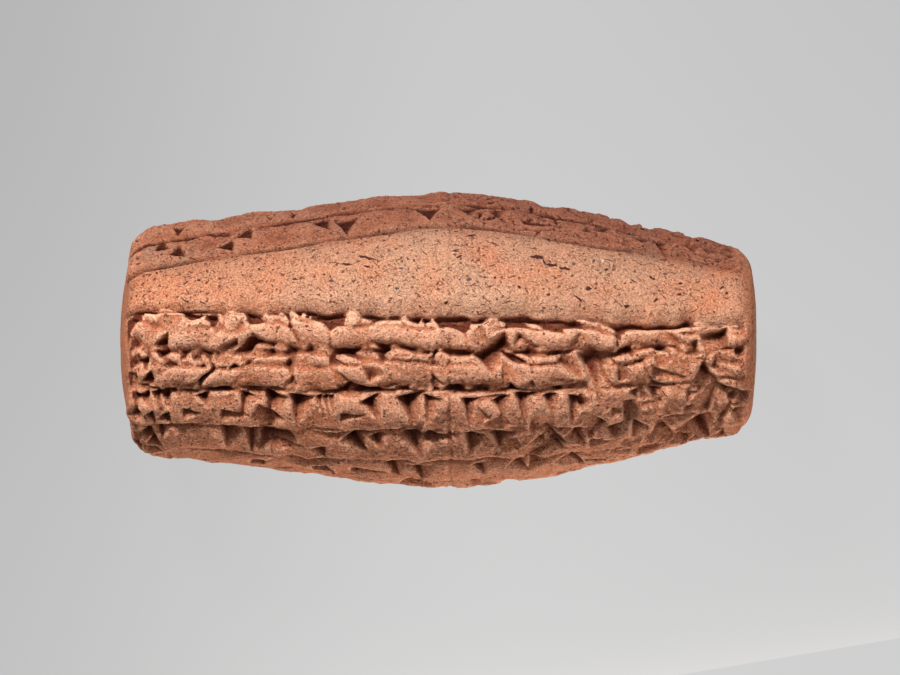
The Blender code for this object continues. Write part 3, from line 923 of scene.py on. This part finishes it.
# what shows on the smooth strip: slits left by burnt chaff, pits, dark stones and one pale grain,
# as (x, y, turn, half length, half width) in millimetres and degrees
marks = {
    "height": 43.0,
    "depth": 20.0,
    "edge": (0.25, 0.45),
    "slits": (
        (-38.9, 8.8, 35, 0.9, 0.2), (-39.0, 6.2, -29, 1.2, 0.2), (-36.3, 5.7, -34, 0.8, 0.2),
        (-10.9, 12.7, -15, 2.1, 0.28), (-14.1, 11.7, -3, 1.4, 0.25), (-11.0, 11.3, -14, 1.0, 0.22),
        (-22.0, 9.4, 10, 0.7, 0.2), (2.8, 14.6, 0, 0.8, 0.2), (2.6, 13.7, -5, 1.0, 0.2),
        (3.2, 12.8, 5, 0.7, 0.2), (15.2, 12.8, -8, 1.7, 0.42), (16.3, 12.0, -62, 0.9, 0.3),
        (17.5, 11.5, -8, 1.4, 0.32), (19.5, 11.0, -14, 1.5, 0.3), (5.0, 16.2, -4, 1.1, 0.25),
        (8.4, 14.9, -12, 1.2, 0.25), (21.5, 6.4, -35, 1.3, 0.25), (30.2, 9.2, -20, 0.9, 0.25),
        (33.0, 9.6, -30, 0.9, 0.25), (40.2, 9.0, 12, 1.0, 0.22),
    ),
    "pits": (
        (-43.5, 10.4, 0, 0.35, 0.3), (-36.9, 9.3, 20, 0.5, 0.3), (1.3, 5.8, 30, 0.6, 0.4),
        (12.4, 8.2, -30, 0.5, 0.35), (16.9, 7.1, 0, 0.4, 0.35), (23.2, 7.9, 15, 0.7, 0.4),
        (28.9, 5.2, 0, 0.55, 0.4), (33.6, 6.1, 40, 0.6, 0.35), (37.3, 7.1, 0, 0.6, 0.45),
        (37.4, 8.7, -20, 0.5, 0.35), (44.0, 8.2, 25, 0.7, 0.4), (44.7, 7.2, 0, 0.5, 0.4),
        (-20.0, 3.5, 10, 0.6, 0.4), (-27.6, 11.0, 0, 0.4, 0.3), (8.7, 9.6, 0, 0.4, 0.35),
        (26.1, 10.9, 10, 0.5, 0.3),
    ),
    "stones": (
        (-5.6, 11.0, 0, 0.4, 0.35), (4.8, 9.3, 20, 0.6, 0.4), (20.9, 11.8, 0, 0.5, 0.4),
        (24.0, 12.3, 0, 0.4, 0.3), (-6.2, 8.0, 0, 0.6, 0.3), (-16.4, 9.0, 0, 0.5, 0.4),
    ),
    "whites": ((25.4, 12.3, 0, 0.4, 0.35),),
}

colours = {
    "body": (0.635, 0.235, 0.12),
    "orange": (0.66, 0.22, 0.10),
    "slip": (0.57, 0.305, 0.192),
    "beige": (0.64, 0.345, 0.185),
    # painted highlight colour for proud crests
    "crestHighlight": (1.0, 0.53, 0.335),
    "green": (0.36, 0.29, 0.20),
    "pink": (0.67, 0.215, 0.125),
    "pit": (0.20, 0.048, 0.026),
    "slit": (0.085, 0.022, 0.016),
    "stone": (0.12, 0.085, 0.085),
    "whiteGrain": (0.85, 0.75, 0.65),
    # painted shade tint for the hollows
    "paintedShadeTint": (0.28, 0.16, 0.125),
    # painted shade tint, with some soil, for the band above the strip and the back
    "shadeAndSoilTint": (0.38, 0.30, 0.30),
}

# how the clay looks. Noise scales are per metre, slitSize and bumpHeight are metres
finish = {
    # a colour, its noise (scale, detail, roughness), where that starts and is full, and how strong it is
    "patches": (
        ("orange", (70, 3, 0.5), (0.42, 0.68), 1.0),
        ("pink", (160, 3, 0.6), (0.55, 0.75), 0.6),
        ("green", (110, 4, 0.65), (0.60, 0.74), 0.5),
    ),
    "mottles": (
        ("beige", (1300, 3, 0.7), (0.50, 0.64), 0.55),
        ("orange", (1700, 2, 0.6), (0.58, 0.68), 0.5),
    ),
    # how proud the crests stand that get a painted highlight, in millimetres, and where the painted shade
    # with soil dulls it
    "fineCrests": (-0.01, -0.11),
    "broadCrests": (-0.15, -0.7, (0, 0.8)),
    "dulledCrests": (0.1, 0.4, (1.0, 0.35)),
    "grain": (3600, 3, 0.75),
    "grainShade": (0.36, 0.66, (0.64, 1.40)),
    "specks": (2900, 3, 0.9),
    "speckEdge": (0.398, 0.355),
    "speckCrowds": (300, 3),
    "speckCrowding": (0.35, 0.65, (-0.03, 0.035)),
    "speckShade": 0.7,
    "pitScale": 1100.0,
    "pitRagged": (0.4, 0.6, (-0.08, 0.08)),
    "pitEdge": (0.26, 0.16),
    "pitChoice": (0.66, 0.68),  # the cells that have a pit
    "pitShade": 0.85,
    "slitTurns": ((0.0, 0.2, 0.35), (0.4, 0.1, -0.2), (0.2, 0.3, 2.3)),
    "slitSize": (0.0021, 0.00034, 0.00034),
    "slitEdge": (0.715, 0.745),
    "slitShade": 0.9,
    "markWobble": {"scale": 900.0, "detail": 3.0, "size": 1.0},
    # how far under its surroundings a hollow must lie, in millimetres, to get the full painted shade
    "paintedShadeDepth": (0.05, 0.85),
    "roughness": 0.92,
    "gloss": 0.25,
    "darkDent": 1.2,
    "coarse": (1100, 4, 0.7),
    "coarseHeight": 2.0,
    "bumpHeight": 0.00034,
}


def patched(nodes, where, colour, patches):
    for name, noise, fade, most in patches:
        share = nodes.ramp(nodes.noise(where, *noise), *fade, (0, most))
        colour = nodes.mix(share, colour, colours[name])
    return colour


def darkDots(nodes, where, grain):
    # small specks, pits and slits all over the clay
    crowd = nodes.ramp(nodes.noise(where, *finish["speckCrowds"]), *finish["speckCrowding"])
    speckle = nodes.maths("SUBTRACT", nodes.noise(where, *finish["specks"]), crowd)
    specks = nodes.times(nodes.ramp(speckle, *finish["speckEdge"]), finish["speckShade"])
    cells = nodes.add("TexVoronoi", {"Scale": finish["pitScale"], "Randomness": 1.0}, {"Vector": where})
    chosen = nodes.add("SeparateColor", links={"Color": cells.outputs["Color"]}).outputs["Red"]
    size = nodes.maths("ADD", cells.outputs["Distance"], nodes.ramp(grain, *finish["pitRagged"]))
    pits = nodes.times(nodes.ramp(size, *finish["pitEdge"]), nodes.ramp(chosen, *finish["pitChoice"]))
    dark = nodes.maths("MAXIMUM", specks, nodes.times(pits, finish["pitShade"]))
    for turn in finish["slitTurns"]:
        turned = nodes.moved(where, turn, finish["slitSize"])
        slits = nodes.ramp(nodes.noise(turned, 1.0, 1.0), *finish["slitEdge"])
        dark = nodes.maths("MAXIMUM", dark, nodes.times(slits, finish["slitShade"]))
    return dark


def markedStrip(nodes, where, colour):
    wobble = finish["markWobble"]
    values = {"Scale": wobble["scale"], "Detail": wobble["detail"]}
    turbulence = nodes.add("TexNoise", values, {"Vector": where}).outputs["Color"]
    full, half = wobble["size"] * mm, -wobble["size"] / 2 * mm
    values = {1: (full, full, 0.0), 2: (half, half, 0.0)}
    shift = nodes.add("VectorMath", values, {0: turbulence}, operation="MULTIPLY_ADD").outputs[0]
    moved = nodes.add("VectorMath", links={0: where, 1: shift}).outputs[0]
    slits, pits, stones, whites = (
        nodes.marks(moved, marks[name]) for name in ("slits", "pits", "stones", "whites")
    )
    colour = nodes.mix(nodes.maths("MAXIMUM", slits, pits), colour, colours["slit"])
    colour = nodes.mix(stones, colour, colours["stone"])
    return nodes.mix(whites, colour, colours["whiteGrain"])


def firedClay():
    nodes = Nodes("firedClay")
    where = nodes.add("TexCoord").outputs["Object"]
    hollow, fine, shadeAndSoil, smooth = (
        nodes.add("Attribute", attribute_name=name).outputs["Fac"]
        for name in ("hollow", "fineHollow", "shadeAndSoil", "smooth")
    )

    colour = patched(nodes, where, colours["body"], finish["patches"])
    colour = nodes.mix(smooth, colour, colours["slip"])
    colour = patched(nodes, where, colour, finish["mottles"])
    # painted highlight: proud crests and bank tops are made paler, less so under the painted shade with soil
    crest, broad = nodes.ramp(fine, *finish["fineCrests"]), nodes.ramp(hollow, *finish["broadCrests"])
    crest = nodes.maths("MAXIMUM", crest, broad)
    crest = nodes.times(crest, nodes.ramp(shadeAndSoil, *finish["dulledCrests"]))
    colour = nodes.mix(crest, colour, colours["crestHighlight"])
    grain = nodes.noise(where, *finish["grain"])
    colour = nodes.mix(1.0, colour, nodes.ramp(grain, *finish["grainShade"]), "MULTIPLY")
    dark = darkDots(nodes, where, grain)
    colour = nodes.mix(dark, colour, colours["pit"])
    colour = markedStrip(nodes, where, colour)
    # painted shade: the deeper a hollow lies, the darker its colour
    colour = nodes.tinted(nodes.ramp(hollow, *finish["paintedShadeDepth"]), colour, colours["paintedShadeTint"])
    # painted shade with some soil darkens the band above the strip, the back and the end faces
    colour = nodes.tinted(shadeAndSoil, colour, colours["shadeAndSoilTint"])
    nodes.give(nodes.shader["Base Color"], colour)
    nodes.give(nodes.shader["Roughness"], finish["roughness"])
    nodes.give(nodes.shader["Specular IOR Level"], finish["gloss"])

    height = nodes.maths("SUBTRACT", grain, nodes.times(dark, finish["darkDent"]))
    coarse = nodes.noise(where, *finish["coarse"])
    height = nodes.maths("ADD", height, nodes.times(coarse, finish["coarseHeight"]))
    bump = nodes.add("Bump", {"Strength": 1.0, "Distance": finish["bumpHeight"]}, {"Height": height})
    nodes.give(nodes.shader["Normal"], bump.outputs["Normal"])
    return nodes.material


# the pale floor and the lights, in metres and watts
studio = {
    "floorHalf": 3.0,
    "floorGrey": 0.012,
    # how the floor's glow changes: from where, to where, and what each side adds
    "glowLeft": (-0.09, 0.012, (-0.13, 0.0)),
    "glowRight": (0.01, 0.085, (0.0, -0.033)),
    "glowUpwards": (-0.072, 0.072, (0.645, 0.565)),
    # place, size, power and colour
    "lights": {
        "key": ((-0.34, 0.64, 0.74), (0.2, 0.2), 17.6, (1, 1, 1)),
        "lowFill": ((-0.35, -0.9, 0.1), (0.6, 0.16), 0.35, (1.0, 0.9, 0.8)),
        "glowBelow": ((0.01, -0.06, 0.003), (0.16, 0.008), 0.075, (1.0, 0.88, 0.74)),
        "rightFill": ((0.8, -0.2, 0.35), (0.5, 0.5), 3.3, (1, 1, 1)),
        "leftFill": ((-0.8, 0.0, 0.3), (0.4, 0.4), 0.4, (1.0, 0.92, 0.85)),
    },
    "unseen": ("glowBelow",),
    "daylight": 0.14,
}


def makeFloor():
    bm = bmesh.new()
    bmesh.ops.create_grid(bm, x_segments=1, y_segments=1, size=studio["floorHalf"])
    mesh = bpy.data.meshes.new("floor")
    bm.to_mesh(mesh)
    bm.free()
    floor = placed("floor", mesh)
    nodes = Nodes("paleFloor")
    nodes.give(nodes.shader["Base Color"], (studio["floorGrey"],) * 3)
    nodes.give(nodes.shader["Roughness"], 1.0)
    nodes.give(nodes.shader["Specular IOR Level"], 0.0)
    nodes.give(nodes.shader["Emission Color"], (1, 1, 1))
    where = nodes.add("SeparateXYZ", links={"Vector": nodes.add("TexCoord").outputs["Object"]})
    atLeft = nodes.ramp(where.outputs["X"], *studio["glowLeft"], "SMOOTHSTEP")
    upwards = nodes.ramp(where.outputs["Y"], *studio["glowUpwards"], "SMOOTHSTEP")
    atRight = nodes.ramp(where.outputs["X"], *studio["glowRight"], "SMOOTHSTEP")
    glow = nodes.maths("ADD", nodes.maths("ADD", atLeft, atRight), upwards)
    nodes.give(nodes.shader["Emission Strength"], glow)
    floor.data.materials.append(nodes.material)


def makeLights():
    middle = Vector((0, 0, axisHeight * mm))
    for name, (place, size, power, colour) in studio["lights"].items():
        data = bpy.data.lights.new(name, "AREA")
        data.shape = "RECTANGLE"
        data.size, data.size_y = size
        data.energy = power
        data.color = colour
        lamp = placed(name, data)
        lamp.location = place
        lamp.rotation_euler = (middle - lamp.location).to_track_quat("-Z", "Y").to_euler()
        lamp.visible_camera = name not in studio["unseen"]
    world = bpy.data.worlds.new("studio")
    bpy.context.scene.world = world
    world.use_nodes = True
    background = world.node_tree.nodes["Background"]
    background.inputs["Color"].default_value = (1, 1, 1, 1)
    background.inputs["Strength"].default_value = studio["daylight"]


# the photograph's frame and where the barrel's middle is in it, in pixels, and the rest in millimetres
view = {
    "pixel": 0.1575,
    "imageWide": 900,
    "imageCentre": (450.0, 337.5),
    "barrelCentre": (438.5, 340.0),
    "distance": 800.0,
    "sensor": 36.0,
}


def makeCamera():
    # looks straight down, with the photograph's up as +Y and its right as +X
    data = bpy.data.cameras.new("camera")
    data.sensor_width = view["sensor"]
    data.lens = data.sensor_width * view["distance"] / (view["imageWide"] * view["pixel"])
    camera = placed("camera", data)
    x = (view["imageCentre"][0] - view["barrelCentre"][0]) * view["pixel"]
    y = (view["barrelCentre"][1] - view["imageCentre"][1]) * view["pixel"]
    camera.location = (x * mm, y * mm, (axisHeight + view["distance"]) * mm)
    bpy.context.scene.camera = camera
    bpy.context.scene.view_settings.view_transform = "Standard"


clayBarrel = makeBarrel()
clayBarrel.data.materials.append(firedClay())
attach(clayBarrel, "root")
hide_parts("clay_barrel")
makeFloor()
makeLights()
makeCamera()
print("scene ready")
